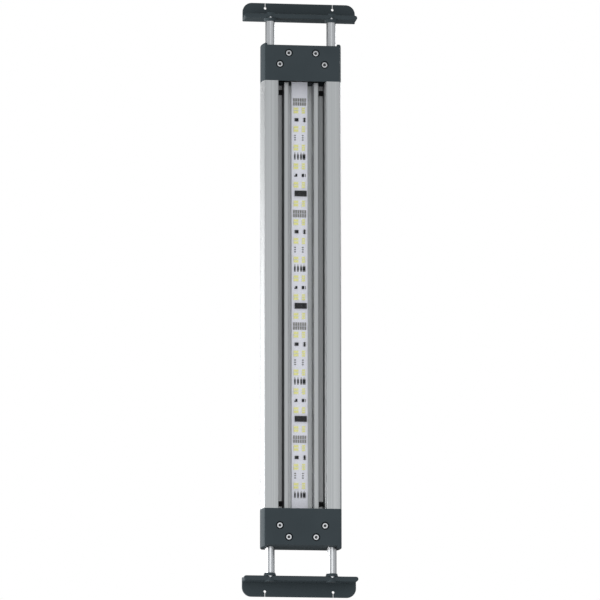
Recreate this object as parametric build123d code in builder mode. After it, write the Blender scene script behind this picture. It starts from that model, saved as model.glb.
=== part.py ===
from build123d import *
import os

# LED aquarium light, in its position of use: the light shines down (-Z), the length runs
# along X, and the two end brackets slide out to rest on the rims of the tank.
# The origin is at the middle of the LED-side face plane. All sizes are in millimetres.

os.makedirs("parts", exist_ok=True)

# ---------------------------------------------------------------- driving dimensions

# lamp body: aluminium extrusion between two plastic end caps
profile_length = 453.6
face_width = 79.5
body_height = 31.8
side_bulge = 2.8
corner_radius = 1.2
wing_width = 14.5
wing_wall = 1.4
wing_inner_wall = 1.3
channel_floor = 27.5
rib_inner = 13.25
rib_width = 5.1
rib_face = 9.8
rib_outer_wall = 1.3
fin_pitch = 3.2
fin_gap = 1.8
fin_height = 2.1
port_radius = 3.3
port_hole_radius = 1.5

# clear cover in the ribs' slots
cover_thickness = 2.0
cover_low = 20.4
slot_depth = 1.1
slot_play = 0.2

# LED boards
board_width = 17.0
board_thickness = 1.6
tape_thickness = 0.3
tape_width = 16.0
board_overhang = 3.9
module_length = 120.0
first_joint = 89.2
board_gap = 0.1
led_pitch = 20.0
led_length = 6.8
led_height = 0.8
led_left_width = 5.8
led_left_y = -3.8
led_right_width = 3.8
led_right_y = 4.05
connector_length = 5.8
connector_width = 12.6
connector_height = 2.2
connector_y = 1.1
connector_from_joint = 21.5

# plastic plugs in the two deep grooves
plug_length = 5.0
plug_height = 3.0
plug_from_end = 7.8
plug_play = 0.1

# end caps
cap_length = 40.2
cap_wall = 2.0
cap_end_wall = 2.4
cap_edge_radius = 0.8
cap_end_slope = 2.0
cheek_thickness = 2.6
screw_boss_radius = 5.4
screw_boss_height = 5.0
outer_screw_y = 23.7
outer_screw_from_end = 22.3
inner_screw_y = 14.25
inner_screw_from_end = 10.2

# screws
head_radius = 3.4
head_height = 2.2
head_recess = 2.8
head_bore_radius = 4.2
head_edge = 1.1
hex_radius = 1.9
hex_depth = 1.5
shank_radius = 1.45
shank_length = 9.0
shank_play = 0.05
frame_head_radius = 2.3
frame_head_height = 2.0

# guide frame inside each cap
seal_thickness = 1.5
seal_inset = 0.4
frame_plate = 4.0
frame_play = 0.3
frame_stub_radius = 2.4
guide_boss_radius = 7.5
guide_length = 35.0
bush_radius = 6.0
bush_play = 0.03
shelf_low = 18.5
shelf_thickness = 2.5
shelf_half_width = 17.5
shelf_length = 23.8
post_radius = 3.2

# terminal board and cord gland, in the +X cap
terminal_length = 14.8
terminal_width = 24.0
terminal_from_plate = 4.5
block_length = 8.0
block_width = 12.0
block_height = 6.0
wire_radius = 0.65
wire_spacing = 6.0
wire_hole_play = 0.25
gland_bore_radius = 2.7
gland_radius = 4.5
gland_flange_radius = 6.2
gland_flange = 1.6
gland_play = 0.2
gland_pad = 3.0
gland_pad_radius = 7.6
gland_nut_radius = 7.2
gland_nut_thickness = 3.0
gland_inner_length = 8.0

# telescopic end brackets
rod_radius = 5.0
rod_play = 0.06
rod_bore_radius = 4.0
rod_solid_end = 16.0
slide_out = 70.0
slide_stop_play = 0.5
rod_hole_play = 0.5
stop_radius = 5.4
stop_thickness = 3.0
stop_plug_length = 8.0
cap_to_lip = 29.2
bracket_width = 120.0
flange_depth = 20.2
flange_low = 30.8
flange_thickness = 2.5
flange_corner = 9.9
flange_edge = 0.8
lip_thickness = 4.8
lip_low = 10.9
lip_edge = 1.2
boss_length = 3.1
boss_base_radius = 6.7
boss_tip_radius = 5.7
socket_depth = 4.7
socket_play = 0.05
back_boss_radius = 5.6
back_boss_height = 1.2
rod_screw_radius = 1.7
rod_screw_length = 14.0
rod_screw_head_radius = 3.6
rod_screw_play = 0.1
keyhole_radius = 1.4
keyhole_y = 35.9
keyhole_from_edge = 5.6
slit_width = 0.7

# ---------------------------------------------------------------- derived places

profile_end = profile_length / 2
body_end = profile_end + cap_length
wing_inner = face_width / 2 - wing_width
rod_y = face_width / 2 - wing_width / 2
rod_z = body_height / 2
board_low = channel_floor - tape_thickness - board_thickness
board_end = profile_end + board_overhang
rib_outer = rib_inner + rib_width
slot_height = cover_thickness + slot_play
port_y = wing_inner + wing_inner_wall + port_radius - 0.2
port_low = wing_wall + port_radius - 0.2
port_high = body_height - port_low
port_points = [(side * port_y, z) for side in (-1, 1) for z in (port_low, port_high)]
rod_points = [(-rod_y, rod_z), (rod_y, rod_z)]
plate_start = board_end + seal_thickness
plate_end = plate_start + frame_plate
guide_end = profile_end + guide_length
outer_screw_x = body_end - outer_screw_from_end
inner_screw_x = body_end - inner_screw_from_end
cap_screw_places = [
    (x, side * y)
    for x, y in ((outer_screw_x, outer_screw_y), (inner_screw_x, inner_screw_y))
    for side in (-1, 1)
]
wire_z = board_low + board_thickness / 2
shelf_top = shelf_low + shelf_thickness
terminal_start = plate_end + terminal_from_plate
block_start = terminal_start + 5.0
gland_seat_x = body_end - gland_flange
lip_x = body_end + cap_to_lip
rod_end_x = lip_x - boss_length + socket_depth
stop_face_x = profile_end - slide_out - slide_stop_play
screw_seat_x = lip_x + lip_thickness + back_boss_height


def save(part, label):
    """Label a finished piece and write it as one STEP file."""
    part.label = label
    export_step(part, "parts/" + label + ".step")


def mirrored(part):
    """The same piece for the -X end of the lamp."""
    return mirror(part, about=Plane.YZ)


def body_section(inset=0.0):
    """Face of the lamp's cross-section in (Y, Z), its outline moved inwards by inset."""
    half = face_width / 2 - inset
    low = inset
    high = body_height - inset
    with BuildSketch() as section:
        with BuildLine():
            Line((-half, low), (half, low))
            ThreePointArc((half, low), (half + side_bulge, body_height / 2), (half, high))
            Line((half, high), (-half, high))
            ThreePointArc((-half, high), (-half - side_bulge, body_height / 2), (-half, low))
        make_face()
        fillet(section.vertices(), corner_radius)
    return section.sketch


def wing_chambers():
    """Hollow inside of both wings, round the screw ports that run the whole length."""
    with BuildSketch() as chambers:
        add(body_section(wing_wall))
        with Locations((0, body_height / 2)):
            Rectangle(2 * (wing_inner + wing_inner_wall), body_height, mode=Mode.SUBTRACT)
        with Locations(*port_points):
            Circle(port_radius, mode=Mode.SUBTRACT)
    return chambers.sketch


# ---------------------------------------------------------------- lamp body

# One aluminium extrusion: two hollow wings, a finned back, and two ribs for the cover.
chamber_width = rib_width - slot_depth - 2 * rib_outer_wall
chamber_height = channel_floor - rib_face - 2 * rib_outer_wall
fin_count = int(2 * (wing_inner - fin_gap) / fin_pitch)
with BuildPart() as heatsink_profile:
    with BuildSketch(Plane.YZ.offset(-profile_end)):
        add(body_section())
        with Locations((0, channel_floor / 2 - 1)):
            Rectangle(2 * wing_inner, channel_floor + 2, mode=Mode.SUBTRACT)
        for side in (-1, 1):
            with Locations((side * (rib_inner + rib_width / 2), (rib_face + channel_floor + 1) / 2)):
                Rectangle(rib_width, channel_floor + 1 - rib_face)
            with Locations((side * (rib_outer - rib_outer_wall - chamber_width / 2),
                            (rib_face + channel_floor) / 2)):
                Rectangle(chamber_width, chamber_height, mode=Mode.SUBTRACT)
            with Locations((side * (rib_inner + slot_depth / 2), cover_low + slot_height / 2)):
                Rectangle(slot_depth, slot_height, mode=Mode.SUBTRACT)
        for index in range(fin_count):
            groove_y = (index - (fin_count - 1) / 2) * fin_pitch
            with Locations((groove_y, body_height - fin_height / 2 + 1)):
                Rectangle(fin_gap, fin_height + 2, mode=Mode.SUBTRACT)
        add(wing_chambers(), mode=Mode.SUBTRACT)
        with Locations(*port_points):
            Circle(port_hole_radius, mode=Mode.SUBTRACT)
    extrude(amount=profile_length)
save(heatsink_profile.part, "heatsink_profile")

# Clear acrylic strip that slides into the ribs' slots and rests on their lower side.
cover_width = 2 * (rib_inner + slot_depth - slot_play)
with BuildPart() as led_cover:
    with BuildSketch(Plane.XY.offset(cover_low)):
        Rectangle(2 * board_end, cover_width)
    extrude(amount=cover_thickness)
save(led_cover.part, "led_cover")

# Heat-conducting tape between the LED boards and the channel floor.
with BuildPart() as thermal_tape:
    with BuildSketch(Plane.XY.offset(channel_floor - tape_thickness)):
        Rectangle(2 * board_end, tape_width)
    extrude(amount=tape_thickness)
save(thermal_tape.part, "thermal_tape")

# LED boards, end to end: each runs from one joint to the next, the outer two to the ends.
board_joints = [board_end]
joint_x = first_joint
while joint_x > -board_end + module_length / 2:
    board_joints.append(joint_x)
    joint_x -= module_length
board_joints.append(-board_end)
led_count = 2 * int((profile_end - led_pitch) / led_pitch) + 1
led_places = [(index - (led_count - 1) / 2) * led_pitch for index in range(led_count)]

for number in range(1, len(board_joints)):
    high_x = board_joints[number - 1] - (board_gap if number > 1 else 0)
    low_x = board_joints[number]
    with BuildPart() as led_board:
        with BuildSketch(Plane.XY.offset(board_low)):
            with Locations(((high_x + low_x) / 2, 0)):
                Rectangle(high_x - low_x, board_width)
        extrude(amount=board_thickness)
    save(led_board.part, f"led_board_{number}")

    # LED groups of this board: a wide and a narrow one side by side at each place.
    with BuildPart() as led_packages:
        with BuildSketch(Plane.XY.offset(board_low)):
            for place in led_places:
                if low_x < place < high_x:
                    with Locations((place, led_left_y)):
                        Rectangle(led_length, led_left_width)
                    with Locations((place, led_right_y)):
                        Rectangle(led_length, led_right_width)
        extrude(amount=-led_height)
    save(led_packages.part, f"led_packages_{number}")

# Plug-in connectors near the end of each full board.
with BuildPart() as board_connectors:
    with BuildSketch(Plane.XY.offset(board_low)):
        for joint in board_joints[1:-1]:
            with Locations((joint + connector_from_joint, connector_y)):
                Rectangle(connector_length, connector_width)
    extrude(amount=-connector_height)
save(board_connectors.part, "board_connectors")

# Plastic plugs pressed into the deep grooves beside the ribs, near both ends.
plug_width = wing_inner - rib_outer - 2 * plug_play
with BuildPart() as groove_plugs:
    with BuildSketch(Plane.XY.offset(channel_floor - plug_height)):
        for end in (-1, 1):
            for side in (-1, 1):
                with Locations((end * (profile_end - plug_from_end), side * (rib_outer + wing_inner) / 2)):
                    Rectangle(plug_length, plug_width)
    extrude(amount=plug_height)
save(groove_plugs.part, "groove_plugs")


# ---------------------------------------------------------------- end caps and what they hold

def end_cap(has_gland):
    """One-piece plastic cap for the +X end: a cup that butts against the extrusion."""
    with BuildPart() as cap:
        with BuildSketch(Plane.YZ.offset(profile_end)):
            add(body_section())
        extrude(amount=cap_length)
        fillet(cap.faces().sort_by(Axis.X)[-1].edges(), cap_edge_radius)
        # the end wall leans inwards towards the LED side, between two upright cheeks
        with BuildSketch(Plane.XZ.offset(-(face_width / 2 - cheek_thickness))):
            with BuildLine():
                Polyline(
                    (body_end - cap_end_slope, -1),
                    (body_end + 1, -1),
                    (body_end + 1, body_height - corner_radius),
                    (body_end, body_height - corner_radius),
                    close=True,
                )
            make_face()
        extrude(amount=face_width - 2 * cheek_thickness, mode=Mode.SUBTRACT)
        with BuildSketch(Plane.YZ.offset(profile_end)):
            add(body_section(cap_wall))
        extrude(amount=cap_length - cap_end_wall - cap_end_slope / 2, mode=Mode.SUBTRACT)
        # bosses and stepped holes for the four screws in the LED-side face
        with BuildSketch(Plane.XY.offset(cap_wall / 2)):
            with Locations(*cap_screw_places):
                Circle(screw_boss_radius)
        extrude(amount=screw_boss_height - cap_wall / 2)
        with Locations(*[Plane(origin=(x, y, 0), z_dir=(0, 0, -1)) for x, y in cap_screw_places]):
            CounterBoreHole(shank_radius + 4 * shank_play, head_bore_radius, head_recess, screw_boss_height)
        # openings for the two rods
        with BuildSketch(Plane.YZ.offset(guide_end)):
            with Locations(*rod_points):
                Circle(rod_radius + rod_hole_play)
        extrude(amount=body_end - guide_end + 1, mode=Mode.SUBTRACT)
        if has_gland:
            # pad, sunk seat and hole for the cord gland
            with BuildSketch(Plane.YZ.offset(gland_seat_x - gland_pad)):
                with Locations((0, rod_z)):
                    Circle(gland_pad_radius)
            extrude(amount=gland_pad)
            with BuildSketch(Plane.YZ.offset(gland_seat_x)):
                with Locations((0, rod_z)):
                    Circle(gland_flange_radius + gland_play)
            extrude(amount=gland_flange + 1, mode=Mode.SUBTRACT)
            with BuildSketch(Plane.YZ.offset(gland_seat_x - gland_pad - 1)):
                with Locations((0, rod_z)):
                    Circle(gland_radius + shank_play)
            extrude(amount=gland_pad + 2, mode=Mode.SUBTRACT)
    return cap.part


save(end_cap(True), "end_cap_right")
save(mirrored(end_cap(False)), "end_cap_left")


def guide_frame(has_wires):
    """Plastic frame inside the +X cap: holds the rods' bushes, a shelf and the screw posts."""
    with BuildPart() as frame:
        with BuildSketch(Plane.YZ.offset(plate_start)):
            add(body_section(cap_wall + frame_play))
        extrude(amount=frame_plate)
        with BuildSketch(Plane.YZ.offset(profile_end)):
            with Locations(*rod_points):
                Circle(guide_boss_radius)
        extrude(amount=guide_length)
        with BuildSketch(Plane.YZ.offset(profile_end)):
            with Locations(*port_points):
                Circle(frame_stub_radius)
        extrude(amount=plate_start - profile_end)
        with BuildSketch(Plane.XY.offset(shelf_low)):
            with Locations((plate_start + shelf_length / 2, 0)):
                Rectangle(shelf_length, 2 * shelf_half_width)
        extrude(amount=shelf_thickness)
        with BuildSketch(Plane.XY.offset(screw_boss_height)):
            with Locations(*cap_screw_places):
                Circle(post_radius)
        extrude(amount=rod_z - screw_boss_height)
        with BuildSketch(Plane.XY.offset(rod_z)):
            with Locations(*cap_screw_places[2:]):
                Circle(post_radius)
        extrude(amount=shelf_low - rod_z)
        # bores for the bushes, the frame's own screws and the cap's screws
        with BuildSketch(Plane.YZ.offset(profile_end)):
            with Locations(*rod_points):
                Circle(bush_radius + bush_play)
            with Locations(*port_points):
                Circle(port_hole_radius + shank_play)
        extrude(amount=guide_length, mode=Mode.SUBTRACT)
        with BuildSketch(Plane.XY.offset(screw_boss_height)):
            with Locations(*cap_screw_places):
                Circle(shank_radius + shank_play)
        extrude(amount=shank_length, mode=Mode.SUBTRACT)
        if has_wires:
            with BuildSketch(Plane.YZ.offset(plate_start)):
                with Locations((-wire_spacing / 2, wire_z), (wire_spacing / 2, wire_z)):
                    Circle(wire_radius + wire_hole_play)
            extrude(amount=frame_plate, mode=Mode.SUBTRACT)
    return frame.part


save(guide_frame(True), "guide_frame_right")
save(mirrored(guide_frame(False)), "guide_frame_left")


def end_seal(has_wires):
    """Silicone plate that closes the end of the LED channel against the guide frame."""
    with BuildPart() as seal:
        with BuildSketch(Plane.YZ.offset(board_end)):
            with Locations((0, (cap_wall + seal_inset + channel_floor) / 2)):
                Rectangle(2 * (rib_outer + 1), channel_floor - cap_wall - seal_inset)
            if has_wires:
                with Locations((-wire_spacing / 2, wire_z), (wire_spacing / 2, wire_z)):
                    Circle(wire_radius + wire_hole_play, mode=Mode.SUBTRACT)
        extrude(amount=seal_thickness)
    return seal.part


save(end_seal(True), "end_seal_right")
save(mirrored(end_seal(False)), "end_seal_left")

# Low-friction sleeves that the rods slide in, two in each frame.
with BuildPart() as guide_bushes:
    with BuildSketch(Plane.YZ.offset(profile_end)):
        with Locations(*rod_points):
            Circle(bush_radius)
            Circle(rod_radius + rod_play, mode=Mode.SUBTRACT)
    extrude(amount=guide_length)
save(guide_bushes.part, "guide_bushes_right")
save(mirrored(guide_bushes.part), "guide_bushes_left")

# Pan-head screws with a hexagon socket, from the LED side through the cap into the frame.
with BuildPart() as cap_screws:
    with BuildSketch(Plane.XY.offset(head_recess - head_height)):
        with Locations(*cap_screw_places):
            Circle(head_radius)
    extrude(amount=head_height)
    fillet(cap_screws.faces().filter_by(Axis.Z).group_by(Axis.Z)[0].edges(), head_edge)
    with BuildSketch(Plane.XY.offset(head_recess)):
        with Locations(*cap_screw_places):
            Circle(shank_radius)
    extrude(amount=screw_boss_height - head_recess + shank_length - 1)
    with BuildSketch(Plane.XY.offset(head_recess - head_height)):
        with Locations(*cap_screw_places):
            RegularPolygon(hex_radius, 6)
    extrude(amount=hex_depth, mode=Mode.SUBTRACT)
save(cap_screws.part, "cap_screws_right")
save(mirrored(cap_screws.part), "cap_screws_left")

# Screws that hold the guide frame on the extrusion's four screw ports.
with BuildPart() as frame_screws:
    with BuildSketch(Plane.YZ.offset(plate_end)):
        with Locations(*port_points):
            Circle(frame_head_radius)
    extrude(amount=frame_head_height)
    with BuildSketch(Plane.YZ.offset(plate_end)):
        with Locations(*port_points):
            Circle(shank_radius)
    extrude(amount=-(plate_end - profile_end + shank_length))
save(frame_screws.part, "frame_screws_right")
save(mirrored(frame_screws.part), "frame_screws_left")

# Terminal board on the right frame's shelf, with its block, and the leads to the LED boards.
with BuildPart() as terminal_board:
    with BuildSketch(Plane.XY.offset(shelf_top)):
        with Locations((terminal_start + terminal_length / 2, 0)):
            Rectangle(terminal_length, terminal_width)
    extrude(amount=board_thickness)
save(terminal_board.part, "terminal_board")

block_low = shelf_top + board_thickness
with BuildPart() as terminal_block:
    with BuildSketch(Plane.XY.offset(block_low)):
        with Locations((block_start + block_length / 2, 0)):
            Rectangle(block_length, block_width)
    extrude(amount=block_height)
save(terminal_block.part, "terminal_block")

with BuildPart() as lead_wires:
    with BuildSketch(Plane.YZ.offset(board_end)):
        with Locations((-wire_spacing / 2, wire_z), (wire_spacing / 2, wire_z)):
            Circle(wire_radius)
    extrude(amount=block_start - board_end)
save(lead_wires.part, "lead_wires")

# Cord gland in the right cap's end wall, held by a hexagon nut inside.
with BuildPart() as cord_gland:
    with BuildSketch(Plane.YZ.offset(gland_seat_x)):
        with Locations((0, rod_z)):
            Circle(gland_flange_radius)
    extrude(amount=gland_flange)
    with BuildSketch(Plane.YZ.offset(gland_seat_x)):
        with Locations((0, rod_z)):
            Circle(gland_radius)
    extrude(amount=-gland_inner_length)
    with BuildSketch(Plane.YZ.offset(gland_seat_x - gland_inner_length)):
        with Locations((0, rod_z)):
            Circle(gland_bore_radius)
    extrude(amount=gland_inner_length + gland_flange, mode=Mode.SUBTRACT)
save(cord_gland.part, "cord_gland")

nut_start = gland_seat_x - gland_pad - gland_nut_thickness
with BuildPart() as gland_nut:
    with BuildSketch(Plane.YZ.offset(nut_start)):
        with Locations((0, rod_z)):
            RegularPolygon(gland_nut_radius, 6)
            Circle(gland_radius + shank_play, mode=Mode.SUBTRACT)
    extrude(amount=gland_nut_thickness)
save(gland_nut.part, "gland_nut")

# ---------------------------------------------------------------- telescopic end brackets

# Right bracket: a flange that rests on the tank's rim and a lip that hangs inside the glass.
with BuildPart() as bracket:
    with BuildSketch(Plane.XY.offset(flange_low)) as flange:
        with Locations((lip_x + flange_depth / 2, 0)):
            Rectangle(flange_depth, bracket_width)
        fillet(flange.vertices().group_by(Axis.X)[-1], flange_corner)
        fillet(flange.vertices().group_by(Axis.X)[0], flange_edge)
    extrude(amount=flange_thickness)
    fillet(bracket.faces().filter_by(Axis.Z).edges(), flange_edge)
    with BuildSketch(Plane.XY.offset(lip_low)) as lip:
        with Locations((lip_x + lip_thickness / 2, 0)):
            Rectangle(lip_thickness, bracket_width)
        fillet(lip.vertices(), lip_thickness / 2 - 0.1)
    extrude(amount=flange_low + flange_thickness - flange_edge - lip_low)
    fillet(bracket.faces().sort_by(Axis.Z)[0].edges(), lip_edge)
    # bosses round the rods, tapered on the lamp's side and flat behind
    with Locations(*[(lip_x - boss_length / 2, y, z) for y, z in rod_points]):
        Cone(boss_base_radius, boss_tip_radius, boss_length, rotation=(0, -90, 0))
    with BuildSketch(Plane.YZ.offset(lip_x + lip_thickness / 2)):
        with Locations(*rod_points):
            Circle(back_boss_radius)
    extrude(amount=lip_thickness / 2 + back_boss_height)
    with BuildSketch(Plane.YZ.offset(lip_x - boss_length)):
        with Locations(*rod_points):
            Circle(rod_radius + socket_play)
    extrude(amount=socket_depth, mode=Mode.SUBTRACT)
    with Locations(*[Plane(origin=(screw_seat_x, y, z), z_dir=(1, 0, 0)) for y, z in rod_points]):
        CounterSinkHole(rod_screw_radius + rod_screw_play, rod_screw_head_radius + rod_screw_play,
                        screw_seat_x - rod_end_x + 1, 90)
    # keyholes with a slit to the outer edge, for a retaining cord or clip
    with BuildSketch(Plane.XY.offset(flange_low - 1)):
        with Locations(*[(lip_x + flange_depth - keyhole_from_edge, side * keyhole_y) for side in (-1, 1)]):
            Circle(keyhole_radius)
        with Locations(*[(lip_x + flange_depth - keyhole_from_edge / 2 + 1, side * keyhole_y)
                         for side in (-1, 1)]):
            Rectangle(keyhole_from_edge + 2, slit_width)
    extrude(amount=flange_thickness + 2, mode=Mode.SUBTRACT)
save(bracket.part, "bracket_right_plate")
save(mirrored(bracket.part), "bracket_left_plate")

# Metal rods: tubes with a solid, tapped outer end that is held in the bracket's sockets.
for name, point in (("front", rod_points[0]), ("rear", rod_points[1])):
    with BuildPart() as rod:
        with BuildSketch(Plane.YZ.offset(stop_face_x)):
            with Locations(point):
                Circle(rod_radius)
        extrude(amount=rod_end_x - stop_face_x)
        with BuildSketch(Plane.YZ.offset(stop_face_x)):
            with Locations(point):
                Circle(rod_bore_radius)
        extrude(amount=rod_end_x - stop_face_x - rod_solid_end, mode=Mode.SUBTRACT)
        with BuildSketch(Plane.YZ.offset(rod_end_x)):
            with Locations(point):
                Circle(rod_screw_radius + socket_play)
        extrude(amount=-(rod_screw_length - (screw_seat_x - rod_end_x) + 1), mode=Mode.SUBTRACT)
    save(rod.part, f"rod_right_{name}")
    save(mirrored(rod.part), f"rod_left_{name}")

# Plastic stops in the rods' inner ends, wider than the bushes, so that they can't pull out.
with BuildPart() as rod_stops:
    with BuildSketch(Plane.YZ.offset(stop_face_x)):
        with Locations(*rod_points):
            Circle(stop_radius)
    extrude(amount=-stop_thickness)
    with BuildSketch(Plane.YZ.offset(stop_face_x)):
        with Locations(*rod_points):
            Circle(rod_bore_radius - socket_play)
    extrude(amount=stop_plug_length)
save(rod_stops.part, "rod_stops_right")
save(mirrored(rod_stops.part), "rod_stops_left")

# Countersunk screws from behind the lip into the rods' tapped ends.
with BuildPart() as rod_screws:
    with BuildSketch(Plane.YZ.offset(screw_seat_x)):
        with Locations(*rod_points):
            Circle(rod_screw_radius)
    extrude(amount=-rod_screw_length)
    cone_height = rod_screw_head_radius - rod_screw_radius
    with Locations(*[(screw_seat_x - cone_height / 2, y, z) for y, z in rod_points]):
        Cone(rod_screw_radius, rod_screw_head_radius, cone_height, rotation=(0, 90, 0))
save(rod_screws.part, "rod_screws_right")
save(mirrored(rod_screws.part), "rod_screws_left")
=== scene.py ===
import bmesh
import bpy
import math
from mathutils import Matrix, Vector


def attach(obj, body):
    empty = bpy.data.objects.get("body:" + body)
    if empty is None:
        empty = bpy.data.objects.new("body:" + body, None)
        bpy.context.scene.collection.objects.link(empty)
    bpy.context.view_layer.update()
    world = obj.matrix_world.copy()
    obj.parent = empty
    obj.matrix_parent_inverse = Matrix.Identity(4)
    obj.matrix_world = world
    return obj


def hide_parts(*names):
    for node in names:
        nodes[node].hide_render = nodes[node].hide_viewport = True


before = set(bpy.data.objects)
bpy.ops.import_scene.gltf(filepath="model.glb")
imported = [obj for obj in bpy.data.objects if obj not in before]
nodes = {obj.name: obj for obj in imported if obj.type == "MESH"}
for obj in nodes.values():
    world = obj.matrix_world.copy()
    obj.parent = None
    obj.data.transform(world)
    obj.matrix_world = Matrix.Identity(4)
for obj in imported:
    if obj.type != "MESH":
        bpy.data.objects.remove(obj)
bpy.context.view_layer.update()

# ---------------------------------------------------------------- aluminium extrusion
# One drawn aluminium profile: hollow wings, deep grooves with fine ridges, two ribs for the
# cover and a finned back. Satin natural anodising over fine lengthwise die lines.
profile_mesh = bpy.data.meshes.new("profile_body")
profile_body = bpy.data.objects.new("profile_body", profile_mesh)
bpy.context.collection.objects.link(profile_body)
bm = bmesh.new()


def rounded(points):
    """Closed outline from (y, z, radius) corners, each corner turned into a short arc."""
    out = []
    count = len(points)
    for index in range(count):
        y, z, radius = points[index]
        corner = Vector((y, z))
        before = Vector(points[index - 1][:2]) - corner
        after = Vector(points[(index + 1) % count][:2]) - corner
        if radius <= 0 or before.length < 1e-6 or after.length < 1e-6:
            out.append(corner)
            continue
        before.normalize()
        after.normalize()
        opening = before.angle(after)
        if opening > math.radians(176):
            out.append(corner)
            continue
        reach = radius / math.tan(opening / 2)
        middle = (before + after).normalized() * (radius / math.sin(opening / 2))
        centre = corner + middle
        first = corner + before * reach - centre
        last = corner + after * reach - centre
        steps = 6 if radius > 0.8 else 3
        for step in range(steps + 1):
            blend = first.lerp(last, step / steps).normalized() * radius
            out.append(centre + blend)
    return out


# Outline values in millimetres, (y, z, corner radius), z measured from the face with the LEDs.
half = 39.75
height = 31.8
bulge = 2.8
groove_wall = 25.25
groove_floor = 27.5
side = []
for step in range(1, 14):
    z = height * step / 14
    side.append((half + bulge * (1 - ((z - height / 2) / (height / 2)) ** 2), z, 0))
right = [(groove_wall, 0, 0.7), (half, 0, 1.2)] + side + [(half, height, 1.2)]
fin_pitch = 3.2
fin_root = 29.7
half_gap = 0.9
fin_line = []
for index in range(14, -1, -1):
    middle = (index - 7) * fin_pitch
    fin_line += [(middle + half_gap, height, 0.25), (middle + half_gap, fin_root, 0.3),
                 (middle - half_gap, fin_root, 0.3), (middle - half_gap, height, 0.25)]
ridge_pitch = 3.2
ridge_crest = 24.75
ridges = []
for index in range(6):
    z = 5.0 + index * ridge_pitch
    ridges += [(groove_wall, z, 0), (ridge_crest, z + 0.5, 0.15), (ridge_crest, z + 1.1, 0.15),
               (groove_wall, z + 1.6, 0)]
rib_outer = 18.35
rib_inner = 13.25
rib_edge = 9.8
slot_wall = 14.35
slot_low = 20.4
slot_high = 22.6
rib = [(rib_outer, groove_floor, 0.3), (rib_outer, rib_edge, 0.6), (rib_inner, rib_edge, 0.6),
       (rib_inner, slot_low, 0.1), (slot_wall, slot_low, 0.1), (slot_wall, slot_high, 0.1),
       (rib_inner, slot_high, 0.1), (rib_inner, groove_floor, 0.2)]
left_side = [(-y, z, r) for y, z, r in reversed(right)]
left_ridges = [(-y, z, r) for y, z, r in ridges]
left_rib = [(-y, z, r) for y, z, r in rib]
inside = (left_ridges + [(-groove_wall, groove_floor, 0.3)] + left_rib + list(reversed(rib))
          + [(groove_wall, groove_floor, 0.3)] + list(reversed(ridges)))
loops = [rounded(right + fin_line + left_side + inside)]
chamber_in = 26.55
chamber_out = 38.2
chamber_low = 1.4
chamber_high = 30.4
chamber_depth = 29.0
chamber_bulge = 2.75
for sign in (-1, 1):
    chamber = [(chamber_in, chamber_low, 0.5), (chamber_out, chamber_low, 0.8)]
    for step in range(1, 10):
        z = chamber_low + chamber_depth * step / 10
        swell = 1 - ((z - height / 2) / (chamber_depth / 2)) ** 2
        chamber.append((chamber_out + chamber_bulge * swell, z, 0))
    chamber += [(chamber_out, chamber_high, 0.8), (chamber_in, chamber_high, 0.5)]
    if sign < 0:
        chamber = list(reversed(chamber))
    loops.append(rounded([(sign * y, z, r) for y, z, r in chamber]))
half_length = 0.2268
edges = []
for loop in loops:
    verts = [bm.verts.new((-half_length, p[0] / 1000, p[1] / 1000)) for p in loop]
    for index in range(len(verts)):
        edges.append(bm.edges.new((verts[index - 1], verts[index])))
filled = bmesh.ops.triangle_fill(bm, use_beauty=True, use_dissolve=False, edges=edges)
faces = [item for item in filled["geom"] if isinstance(item, bmesh.types.BMFace)]
grown = bmesh.ops.extrude_face_region(bm, geom=faces, use_keep_orig=True)
moved = [item for item in grown["geom"] if isinstance(item, bmesh.types.BMVert)]
bmesh.ops.translate(bm, verts=moved, vec=(2 * half_length, 0, 0))
bmesh.ops.recalc_face_normals(bm, faces=bm.faces)
for face in bm.faces:
    face.smooth = abs(face.normal.x) < 0.5
for edge in bm.edges:
    if len(edge.link_faces) == 2 and edge.calc_face_angle(0) > math.radians(32):
        edge.smooth = False
bm.to_mesh(profile_mesh)
bm.free()
metal = bpy.data.materials.new("satin_anodised")
metal.use_nodes = True
tree = metal.node_tree
shader = tree.nodes["Principled BSDF"]
shader.inputs["Metallic"].default_value = 0.85
coords = tree.nodes.new("ShaderNodeTexCoord")
stretch = tree.nodes.new("ShaderNodeMapping")
stretch.inputs["Scale"].default_value = (1.5, 620.0, 620.0)
lines = tree.nodes.new("ShaderNodeTexNoise")
lines.inputs["Scale"].default_value = 1.0
lines.inputs["Detail"].default_value = 3.0
tree.links.new(coords.outputs["Object"], stretch.inputs["Vector"])
tree.links.new(stretch.outputs["Vector"], lines.inputs["Vector"])
tone = tree.nodes.new("ShaderNodeValToRGB")
tone.color_ramp.elements[0].position = 0.3
tone.color_ramp.elements[0].color = (0.29, 0.30, 0.304, 1)
tone.color_ramp.elements[1].position = 0.7
tone.color_ramp.elements[1].color = (0.385, 0.396, 0.40, 1)
tree.links.new(lines.outputs["Fac"], tone.inputs["Fac"])
tree.links.new(tone.outputs["Color"], shader.inputs["Base Color"])
rough = tree.nodes.new("ShaderNodeMapRange")
rough.inputs["To Min"].default_value = 0.38
rough.inputs["To Max"].default_value = 0.52
tree.links.new(lines.outputs["Fac"], rough.inputs["Value"])
tree.links.new(rough.outputs["Result"], shader.inputs["Roughness"])
relief = tree.nodes.new("ShaderNodeBump")
relief.inputs["Strength"].default_value = 0.12
relief.inputs["Distance"].default_value = 0.00004
tree.links.new(lines.outputs["Fac"], relief.inputs["Height"])
tree.links.new(relief.outputs["Normal"], shader.inputs["Normal"])
profile_mesh.materials.append(metal)
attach(profile_body, "lamp")
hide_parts("heatsink_profile")

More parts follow.
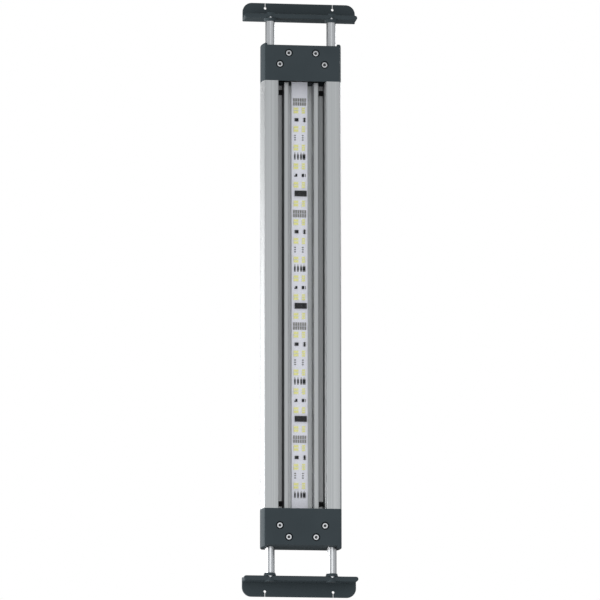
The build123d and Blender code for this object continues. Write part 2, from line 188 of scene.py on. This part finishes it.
# ---------------------------------------------------------------- end caps and bracket plates
# Four injection mouldings in glass-filled anthracite plastic: a cap at each end and the two
# brackets. The same fine spark-eroded grain is on all of them.
grain = bpy.data.materials.new("anthracite_plastic")
grain.use_nodes = True
tree = grain.node_tree
shader = tree.nodes["Principled BSDF"]
shader.inputs["Specular IOR Level"].default_value = 0.08
coords = tree.nodes.new("ShaderNodeTexCoord")
fine = tree.nodes.new("ShaderNodeTexNoise")
fine.inputs["Scale"].default_value = 1500.0
fine.inputs["Detail"].default_value = 2.0
wide = tree.nodes.new("ShaderNodeTexNoise")
wide.inputs["Scale"].default_value = 22.0
wide.inputs["Detail"].default_value = 2.0
tree.links.new(coords.outputs["Object"], fine.inputs["Vector"])
tree.links.new(coords.outputs["Object"], wide.inputs["Vector"])
tone = tree.nodes.new("ShaderNodeValToRGB")
tone.color_ramp.elements[0].position = 0.3
tone.color_ramp.elements[0].color = (0.0325, 0.0425, 0.0480, 1)
tone.color_ramp.elements[1].position = 0.7
tone.color_ramp.elements[1].color = (0.0380, 0.0490, 0.0550, 1)
tree.links.new(wide.outputs["Fac"], tone.inputs["Fac"])
tree.links.new(tone.outputs["Color"], shader.inputs["Base Color"])
rough = tree.nodes.new("ShaderNodeMapRange")
rough.inputs["To Min"].default_value = 0.58
rough.inputs["To Max"].default_value = 0.7
tree.links.new(fine.outputs["Fac"], rough.inputs["Value"])
tree.links.new(rough.outputs["Result"], shader.inputs["Roughness"])
relief = tree.nodes.new("ShaderNodeBump")
relief.inputs["Strength"].default_value = 0.25
relief.inputs["Distance"].default_value = 0.00003
tree.links.new(fine.outputs["Fac"], relief.inputs["Height"])
tree.links.new(relief.outputs["Normal"], shader.inputs["Normal"])
for name in ("end_cap_right", "end_cap_left", "bracket_right_plate", "bracket_left_plate"):
    nodes[name].data.materials.clear()
    nodes[name].data.materials.append(grain)

# ---------------------------------------------------------------- rods
# Four drawn and ground steel tubes, bright, with faint lines from grinding along them. Each is
# screwed to its bracket from behind the lip and slides in bushes inside the cap.
steel = bpy.data.materials.new("ground_steel")
steel.use_nodes = True
tree = steel.node_tree
shader = tree.nodes["Principled BSDF"]
shader.inputs["Metallic"].default_value = 1.0
coords = tree.nodes.new("ShaderNodeTexCoord")
stretch = tree.nodes.new("ShaderNodeMapping")
stretch.inputs["Scale"].default_value = (12.0, 2600.0, 2600.0)
lines = tree.nodes.new("ShaderNodeTexNoise")
lines.inputs["Scale"].default_value = 1.0
lines.inputs["Detail"].default_value = 2.0
tree.links.new(coords.outputs["Object"], stretch.inputs["Vector"])
tree.links.new(stretch.outputs["Vector"], lines.inputs["Vector"])
tone = tree.nodes.new("ShaderNodeValToRGB")
tone.color_ramp.elements[0].color = (0.40, 0.41, 0.42, 1)
tone.color_ramp.elements[1].color = (0.50, 0.51, 0.52, 1)
tree.links.new(lines.outputs["Fac"], tone.inputs["Fac"])
tree.links.new(tone.outputs["Color"], shader.inputs["Base Color"])
rough = tree.nodes.new("ShaderNodeMapRange")
rough.inputs["To Min"].default_value = 0.26
rough.inputs["To Max"].default_value = 0.36
tree.links.new(lines.outputs["Fac"], rough.inputs["Value"])
tree.links.new(rough.outputs["Result"], shader.inputs["Roughness"])
for name in ("rod_right_front", "rod_right_rear", "rod_left_front", "rod_left_rear"):
    nodes[name].data.materials.clear()
    nodes[name].data.materials.append(steel)

# ---------------------------------------------------------------- screws
# Zinc-plated steel screws: pan heads in the caps, countersunk ones behind the lips, and the
# hidden ones that hold the guide frames.
zinc = bpy.data.materials.new("bright_zinc")
zinc.use_nodes = True
tree = zinc.node_tree
shader = tree.nodes["Principled BSDF"]
shader.inputs["Metallic"].default_value = 1.0
shader.inputs["Roughness"].default_value = 0.3
coords = tree.nodes.new("ShaderNodeTexCoord")
cloud = tree.nodes.new("ShaderNodeTexNoise")
cloud.inputs["Scale"].default_value = 700.0
tree.links.new(coords.outputs["Object"], cloud.inputs["Vector"])
tone = tree.nodes.new("ShaderNodeValToRGB")
tone.color_ramp.elements[0].color = (0.34, 0.35, 0.36, 1)
tone.color_ramp.elements[1].color = (0.46, 0.47, 0.48, 1)
tree.links.new(cloud.outputs["Fac"], tone.inputs["Fac"])
tree.links.new(tone.outputs["Color"], shader.inputs["Base Color"])
for name in ("cap_screws_right", "cap_screws_left", "frame_screws_right", "frame_screws_left",
             "rod_screws_right", "rod_screws_left"):
    nodes[name].data.materials.clear()
    nodes[name].data.materials.append(zinc)

# ---------------------------------------------------------------- sockets of the cap screws
# Painted shade in the floors of the eight cap screws' sockets: thin near-black discs that lie
# in the sockets of the heads and stand in for the shade deep in each socket.
floor_mesh = bpy.data.meshes.new("socket_floors")
socket_floors = bpy.data.objects.new("socket_floors", floor_mesh)
bpy.context.collection.objects.link(socket_floors)
bm = bmesh.new()
socket_radius = 0.00155
socket_floor_z = 0.0020
for end in (-1, 1):
    for x, y in ((0.2447, 0.0237), (0.2568, 0.01425)):
        for side_sign in (-1, 1):
            ring = bmesh.ops.create_circle(bm, cap_ends=True, segments=24, radius=socket_radius)
            for vert in ring["verts"]:
                vert.co += Vector((end * x, side_sign * y, socket_floor_z))
bmesh.ops.reverse_faces(bm, faces=bm.faces)
bm.to_mesh(floor_mesh)
bm.free()
# Near-black colour of the discs: painted shade of the sockets, not dirt or plating marks.
painted_socket_shade = bpy.data.materials.new("socket_painted_shade")
painted_socket_shade.use_nodes = True
tree = painted_socket_shade.node_tree
shader = tree.nodes["Principled BSDF"]
shader.inputs["Roughness"].default_value = 0.6
coords = tree.nodes.new("ShaderNodeTexCoord")
speck = tree.nodes.new("ShaderNodeTexNoise")
speck.inputs["Scale"].default_value = 900.0
tree.links.new(coords.outputs["Object"], speck.inputs["Vector"])
tone = tree.nodes.new("ShaderNodeValToRGB")
tone.color_ramp.elements[0].color = (0.01, 0.01, 0.01, 1)
tone.color_ramp.elements[1].color = (0.03, 0.03, 0.03, 1)
tree.links.new(speck.outputs["Fac"], tone.inputs["Fac"])
tree.links.new(tone.outputs["Color"], shader.inputs["Base Color"])
floor_mesh.materials.append(painted_socket_shade)
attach(socket_floors, "lamp")

# ---------------------------------------------------------------- clear cover
# Extruded clear acrylic strip, glossy and nearly invisible from straight below. It is pushed
# into the ribs' slots from the end before the cap goes on.
acrylic = bpy.data.materials.new("clear_acrylic")
acrylic.use_nodes = True
tree = acrylic.node_tree
shader = tree.nodes["Principled BSDF"]
shader.inputs["Base Color"].default_value = (0.9, 0.93, 0.97, 1)
shader.inputs["Specular IOR Level"].default_value = 0.3
shader.inputs["Alpha"].default_value = 0.012
coords = tree.nodes.new("ShaderNodeTexCoord")
haze = tree.nodes.new("ShaderNodeTexNoise")
haze.inputs["Scale"].default_value = 60.0
tree.links.new(coords.outputs["Object"], haze.inputs["Vector"])
rough = tree.nodes.new("ShaderNodeMapRange")
rough.inputs["To Min"].default_value = 0.04
rough.inputs["To Max"].default_value = 0.1
tree.links.new(haze.outputs["Fac"], rough.inputs["Value"])
tree.links.new(rough.outputs["Result"], shader.inputs["Roughness"])
nodes["led_cover"].data.materials.clear()
nodes["led_cover"].data.materials.append(acrylic)

# ---------------------------------------------------------------- LED boards
# Four white-masked aluminium-core boards, printed and cut, laid end to end along the channel
# and glued down with heat-conducting tape.
mask = bpy.data.materials.new("white_solder_mask")
mask.use_nodes = True
tree = mask.node_tree
shader = tree.nodes["Principled BSDF"]
shader.inputs["Roughness"].default_value = 0.4
coords = tree.nodes.new("ShaderNodeTexCoord")
patch = tree.nodes.new("ShaderNodeTexVoronoi")
patch.distance = "CHEBYCHEV"
patch.inputs["Scale"].default_value = 260.0
tree.links.new(coords.outputs["Object"], patch.inputs["Vector"])
tone = tree.nodes.new("ShaderNodeValToRGB")
tone.color_ramp.elements[0].position = 0.2
tone.color_ramp.elements[0].color = (0.84, 0.845, 0.91, 1)
tone.color_ramp.elements[1].position = 0.8
tone.color_ramp.elements[1].color = (0.87, 0.87, 0.95, 1)
tree.links.new(patch.outputs["Distance"], tone.inputs["Fac"])
tree.links.new(tone.outputs["Color"], shader.inputs["Base Color"])
for number in range(1, 5):
    nodes[f"led_board_{number}"].data.materials.clear()
    nodes[f"led_board_{number}"].data.materials.append(mask)

# ---------------------------------------------------------------- LEDs
# White-bodied LEDs with yellow phosphor windows, soldered in a wide and a narrow row. Each
# place has two wide ones and three narrow ones close together.
body_white = bpy.data.materials.new("led_body")
body_white.use_nodes = True
tree = body_white.node_tree
shader = tree.nodes["Principled BSDF"]
shader.inputs["Base Color"].default_value = (0.88, 0.87, 0.66, 1)
shader.inputs["Roughness"].default_value = 0.35
phosphor = bpy.data.materials.new("led_phosphor")
phosphor.use_nodes = True
tree = phosphor.node_tree
shader = tree.nodes["Principled BSDF"]
shader.inputs["Roughness"].default_value = 0.25
coords = tree.nodes.new("ShaderNodeTexCoord")
grainy = tree.nodes.new("ShaderNodeTexNoise")
grainy.inputs["Scale"].default_value = 900.0
tree.links.new(coords.outputs["Object"], grainy.inputs["Vector"])
tone = tree.nodes.new("ShaderNodeValToRGB")
tone.color_ramp.elements[0].color = (0.80, 0.79, 0.22, 1)
tone.color_ramp.elements[1].color = (0.90, 0.88, 0.34, 1)
tree.links.new(grainy.outputs["Fac"], tone.inputs["Fac"])
tree.links.new(tone.outputs["Color"], shader.inputs["Base Color"])
board_ends = [0.2307, 0.0892, -0.0308, -0.1508, -0.2307]
pair_pitch = 0.02
body_z, body_high = 0.02525, 0.0007
window_z, window_high = 0.02488, 0.00012
window_share_x, window_share_y = 0.66, 0.84
wide_row = [(-0.00175, -0.0038, 0.0032, 0.0054), (0.00175, -0.0038, 0.0032, 0.0054)]
narrow_row = [(-0.00235, 0.00405, 0.0021, 0.0036), (0.0, 0.00405, 0.0021, 0.0036),
              (0.00235, 0.00405, 0.0021, 0.0036)]
for number in range(1, 5):
    chips_mesh = bpy.data.meshes.new(f"led_chips_{number}")
    chips = bpy.data.objects.new(f"led_chips_{number}", chips_mesh)
    bpy.context.collection.objects.link(chips)
    bm = bmesh.new()
    for index in range(21):
        place = 0.2 - pair_pitch * index
        if not board_ends[number] < place < board_ends[number - 1]:
            continue
        for dx, y, long_x, wide_y in wide_row + narrow_row:
            body = bmesh.ops.create_cube(bm, size=1.0)
            for vert in body["verts"]:
                vert.co.x = place + dx + vert.co.x * long_x
                vert.co.y = y + vert.co.y * wide_y
                vert.co.z = body_z + vert.co.z * body_high
            window = bmesh.ops.create_cube(bm, size=1.0)
            for vert in window["verts"]:
                vert.co.x = place + dx + vert.co.x * long_x * window_share_x
                vert.co.y = y + vert.co.y * wide_y * window_share_y
                vert.co.z = window_z + vert.co.z * window_high
            for face in set(face for vert in window["verts"] for face in vert.link_faces):
                face.material_index = 1
    bm.to_mesh(chips_mesh)
    bm.free()
    chips_mesh.materials.append(body_white)
    chips_mesh.materials.append(phosphor)
    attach(chips, "lamp")
    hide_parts(f"led_packages_{number}")

# ---------------------------------------------------------------- small parts on the boards
# Driver chips, transistors and resistors in black resin, soldered between the LED pairs.
# The same set repeats on each module.
resin = bpy.data.materials.new("black_resin")
resin.use_nodes = True
tree = resin.node_tree
shader = tree.nodes["Principled BSDF"]
shader.inputs["Roughness"].default_value = 0.6
shader.inputs["Specular IOR Level"].default_value = 0.12
coords = tree.nodes.new("ShaderNodeTexCoord")
speck = tree.nodes.new("ShaderNodeTexNoise")
speck.inputs["Scale"].default_value = 1200.0
tree.links.new(coords.outputs["Object"], speck.inputs["Vector"])
tone = tree.nodes.new("ShaderNodeValToRGB")
tone.color_ramp.elements[0].color = (0.008, 0.008, 0.009, 1)
tone.color_ramp.elements[1].color = (0.02, 0.02, 0.022, 1)
tree.links.new(speck.outputs["Fac"], tone.inputs["Fac"])
tree.links.new(tone.outputs["Color"], shader.inputs["Base Color"])
solder = bpy.data.materials.new("solder")
solder.use_nodes = True
tree = solder.node_tree
shader = tree.nodes["Principled BSDF"]
shader.inputs["Metallic"].default_value = 0.9
shader.inputs["Roughness"].default_value = 0.42
coords = tree.nodes.new("ShaderNodeTexCoord")
lumps = tree.nodes.new("ShaderNodeTexNoise")
lumps.inputs["Scale"].default_value = 1400.0
tree.links.new(coords.outputs["Object"], lumps.inputs["Vector"])
tone = tree.nodes.new("ShaderNodeValToRGB")
tone.color_ramp.elements[0].color = (0.10, 0.10, 0.10, 1)
tone.color_ramp.elements[1].color = (0.26, 0.26, 0.255, 1)
tree.links.new(lumps.outputs["Fac"], tone.inputs["Fac"])
tree.links.new(tone.outputs["Color"], shader.inputs["Base Color"])
parts_mesh = bpy.data.meshes.new("board_parts")
board_parts = bpy.data.objects.new("board_parts", parts_mesh)
bpy.context.collection.objects.link(board_parts)
bm = bmesh.new()
blocks = []
board_face_z = 0.0256
resin_slot, solder_slot = 0, 1
for joint in (0.2092, 0.0892, -0.0308, -0.1508):
    def at(dx, y, long_x, wide_y, high, kind):
        if -0.229 < joint + dx < 0.228:
            blocks.append((joint + dx, y, long_x, wide_y, high, kind))
    at(-0.0193, -0.0030, 0.0034, 0.0036, 0.0012, resin_slot)
    at(-0.0193, 0.0052, 0.0046, 0.0016, 0.0010, resin_slot)
    for step in (-1, 0, 1):
        at(-0.0193 + step * 0.0016, 0.0040, 0.0006, 0.0012, 0.0003, solder_slot)
        at(-0.0193 + step * 0.0016, 0.0064, 0.0006, 0.0010, 0.0003, solder_slot)
        at(-0.0193 + step * 0.0012, -0.0052, 0.0006, 0.0010, 0.0003, solder_slot)
    for step in (-1, 0, 1):
        at(-0.0385 + step * 0.0024, -0.0048, 0.0010, 0.0018, 0.0005, solder_slot)
        at(-0.0385 + step * 0.0024, 0.0034, 0.0010, 0.0018, 0.0005, solder_slot)
        at(-0.0385 + step * 0.0024, -0.0048, 0.0008, 0.0008, 0.0007, resin_slot)
        at(-0.0385 + step * 0.0024, 0.0034, 0.0008, 0.0008, 0.0007, resin_slot)
    for y, wide in ((-0.0050, 0.0015), (-0.0017, 0.0016), (0.0016, 0.0016), (0.0047, 0.0030)):
        at(-0.0589, y, 0.0040, wide, 0.0008, resin_slot)
        at(-0.0548, y, 0.0008, 0.0009, 0.0002, solder_slot)
        at(-0.0562, y, 0.0010, wide, 0.0003, solder_slot)
        at(-0.0616, y, 0.0010, wide, 0.0003, solder_slot)
    at(-0.0789, -0.0034, 0.0030, 0.0020, 0.0009, resin_slot)
    at(-0.0798, -0.0046, 0.0012, 0.0018, 0.0007, resin_slot)
    at(-0.0789, 0.0036, 0.0032, 0.0026, 0.0009, resin_slot)
    at(-0.0789, 0.0062, 0.0032, 0.0008, 0.0003, solder_slot)
    for step in range(6):
        at(-0.0021, -0.0060 + step * 0.0024, 0.0036, 0.0019, 0.0004, solder_slot)
        at(0.0021, -0.0060 + step * 0.0024, 0.0036, 0.0019, 0.0004, solder_slot)
for x, y, long_x, wide_y, high, kind in blocks:
    cube = bmesh.ops.create_cube(bm, size=1.0)
    for vert in cube["verts"]:
        vert.co.x = x + vert.co.x * long_x
        vert.co.y = y + vert.co.y * wide_y
        vert.co.z = board_face_z - high / 2 + vert.co.z * high
    for face in set(face for vert in cube["verts"] for face in vert.link_faces):
        face.material_index = kind
bm.to_mesh(parts_mesh)
bm.free()
parts_mesh.materials.append(resin)
parts_mesh.materials.append(solder)
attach(board_parts, "lamp")

# ---------------------------------------------------------------- connectors and plugs
# Moulded black nylon: the board-to-board connectors, and the plugs pressed into the deep
# grooves' ends. The gland and nut, guide frames and end seals take the same black material.
nylon = bpy.data.materials.new("black_nylon")
nylon.use_nodes = True
tree = nylon.node_tree
shader = tree.nodes["Principled BSDF"]
shader.inputs["Roughness"].default_value = 0.6
shader.inputs["Specular IOR Level"].default_value = 0.12
coords = tree.nodes.new("ShaderNodeTexCoord")
speck = tree.nodes.new("ShaderNodeTexNoise")
speck.inputs["Scale"].default_value = 800.0
tree.links.new(coords.outputs["Object"], speck.inputs["Vector"])
tone = tree.nodes.new("ShaderNodeValToRGB")
tone.color_ramp.elements[0].color = (0.007, 0.007, 0.008, 1)
tone.color_ramp.elements[1].color = (0.016, 0.016, 0.017, 1)
tree.links.new(speck.outputs["Fac"], tone.inputs["Fac"])
tree.links.new(tone.outputs["Color"], shader.inputs["Base Color"])
for name in ("board_connectors", "groove_plugs", "cord_gland", "gland_nut", "guide_frame_right",
             "guide_frame_left", "end_seal_right", "end_seal_left"):
    nodes[name].data.materials.clear()
    nodes[name].data.materials.append(nylon)

# ---------------------------------------------------------------- bushes and stops
# Turned natural acetal: sleeves pressed into the guide frames, and the stops in the rods'
# inner ends. The pale tape under the boards, which is hidden, takes the same off-white.
acetal = bpy.data.materials.new("acetal")
acetal.use_nodes = True
tree = acetal.node_tree
shader = tree.nodes["Principled BSDF"]
shader.inputs["Roughness"].default_value = 0.35
coords = tree.nodes.new("ShaderNodeTexCoord")
speck = tree.nodes.new("ShaderNodeTexNoise")
speck.inputs["Scale"].default_value = 300.0
tree.links.new(coords.outputs["Object"], speck.inputs["Vector"])
tone = tree.nodes.new("ShaderNodeValToRGB")
tone.color_ramp.elements[0].color = (0.66, 0.66, 0.62, 1)
tone.color_ramp.elements[1].color = (0.74, 0.74, 0.70, 1)
tree.links.new(speck.outputs["Fac"], tone.inputs["Fac"])
tree.links.new(tone.outputs["Color"], shader.inputs["Base Color"])
for name in ("guide_bushes_right", "guide_bushes_left", "rod_stops_right", "rod_stops_left",
             "thermal_tape"):
    nodes[name].data.materials.clear()
    nodes[name].data.materials.append(acetal)

# ---------------------------------------------------------------- terminal board and leads
# Green fibreglass board with a grey screw block soldered on and two red plastic-covered
# leads, all hidden in the right cap.
for name, low, high in (("terminal_board", (0.02, 0.12, 0.05), (0.03, 0.18, 0.08)),
                        ("terminal_block", (0.24, 0.26, 0.27), (0.32, 0.34, 0.35)),
                        ("lead_wires", (0.35, 0.02, 0.02), (0.5, 0.03, 0.03))):
    inner = bpy.data.materials.new(name)
    inner.use_nodes = True
    tree = inner.node_tree
    shader = tree.nodes["Principled BSDF"]
    shader.inputs["Roughness"].default_value = 0.4
    coords = tree.nodes.new("ShaderNodeTexCoord")
    speck = tree.nodes.new("ShaderNodeTexNoise")
    speck.inputs["Scale"].default_value = 500.0
    tree.links.new(coords.outputs["Object"], speck.inputs["Vector"])
    tone = tree.nodes.new("ShaderNodeValToRGB")
    tone.color_ramp.elements[0].color = low + (1,)
    tone.color_ramp.elements[1].color = high + (1,)
    tree.links.new(speck.outputs["Fac"], tone.inputs["Fac"])
    tree.links.new(tone.outputs["Color"], shader.inputs["Base Color"])
    nodes[name].data.materials.clear()
    nodes[name].data.materials.append(inner)

# ---------------------------------------------------------------- world and lamps
# White surroundings for the camera, dimmer for the object's shading and darkest above it.
# Two soft lamps stand on the front side, a weak one below and one above the right end.
world = bpy.data.worlds.new("studio")
bpy.context.scene.world = world
world.use_nodes = True
tree = world.node_tree
tree.nodes.clear()
path = tree.nodes.new("ShaderNodeLightPath")
white = tree.nodes.new("ShaderNodeBackground")
white.inputs["Color"].default_value = (1, 1, 1, 1)
white.inputs["Strength"].default_value = 1.0
dim = tree.nodes.new("ShaderNodeBackground")
dim.inputs["Color"].default_value = (0.97, 0.985, 1, 1)
heading = tree.nodes.new("ShaderNodeTexCoord")
split = tree.nodes.new("ShaderNodeSeparateXYZ")
fall = tree.nodes.new("ShaderNodeMapRange")
fall.inputs["From Min"].default_value = -0.05
fall.inputs["From Max"].default_value = 0.45
fall.inputs["To Min"].default_value = 0.85
fall.inputs["To Max"].default_value = 0.30
tree.links.new(heading.outputs["Generated"], split.inputs["Vector"])
tree.links.new(split.outputs["Z"], fall.inputs["Value"])
tree.links.new(fall.outputs["Result"], dim.inputs["Strength"])
pick = tree.nodes.new("ShaderNodeMixShader")
out = tree.nodes.new("ShaderNodeOutputWorld")
tree.links.new(path.outputs["Is Camera Ray"], pick.inputs["Fac"])
tree.links.new(dim.outputs["Background"], pick.inputs[1])
tree.links.new(white.outputs["Background"], pick.inputs[2])
tree.links.new(pick.outputs["Shader"], out.inputs["Surface"])
for name, place, aim, size, power in (
        ("side_soft", (-0.5, -1.6, -0.1), (-0.2, 0, 0.015), 1.0, 34.0),
        ("under_soft", (-0.1, 0.2, -2.4), (0, 0, 0.015), 1.4, 9.0),
        ("top_soft", (1.3, 1.0, 1.5), (0, 0, 0.015), 1.6, 34.0),
        ("back_soft", (-0.15, -1.3, 1.7), (-0.05, 0, 0.015), 1.2, 23.0)):
    light = bpy.data.lights.new(name, "AREA")
    light.shape = "SQUARE"
    light.size = size
    light.energy = power
    lamp = bpy.data.objects.new(name, light)
    bpy.context.collection.objects.link(lamp)
    lamp.location = place
    lamp.rotation_euler = (Vector(aim) - Vector(place)).to_track_quat("-Z", "Y").to_euler()

# ---------------------------------------------------------------- camera
# Long lens from about six metres below, a little towards the front side and the left end,
# with the lamp's length upright in the frame.
target = Vector((-0.0052, -0.0012, 0.012))
eye = Vector((-0.985, -0.720, -5.870))
forward = (target - eye).normalized()
up_hint = Vector((1, 0.0005, 0))
across = forward.cross(up_hint).normalized()
upward = across.cross(forward).normalized()
camera_data = bpy.data.cameras.new("camera")
camera_data.lens = 343.6
camera_data.sensor_width = 36.0
camera_data.clip_end = 20.0
camera = bpy.data.objects.new("camera", camera_data)
bpy.context.collection.objects.link(camera)
camera.matrix_world = Matrix((
    (across.x, upward.x, -forward.x, eye.x),
    (across.y, upward.y, -forward.y, eye.y),
    (across.z, upward.z, -forward.z, eye.z),
    (0, 0, 0, 1)))
bpy.context.scene.camera = camera

# ---------------------------------------------------------------- render settings
# Cycles path tracing with denoising in a square frame of 600, and plain colour management
# without a look.
scene = bpy.context.scene
scene.render.engine = "CYCLES"
scene.cycles.samples = 256
scene.cycles.use_denoising = True
scene.render.resolution_x = 600
scene.render.resolution_y = 600
scene.view_settings.view_transform = "Standard"
scene.view_settings.look = "None"
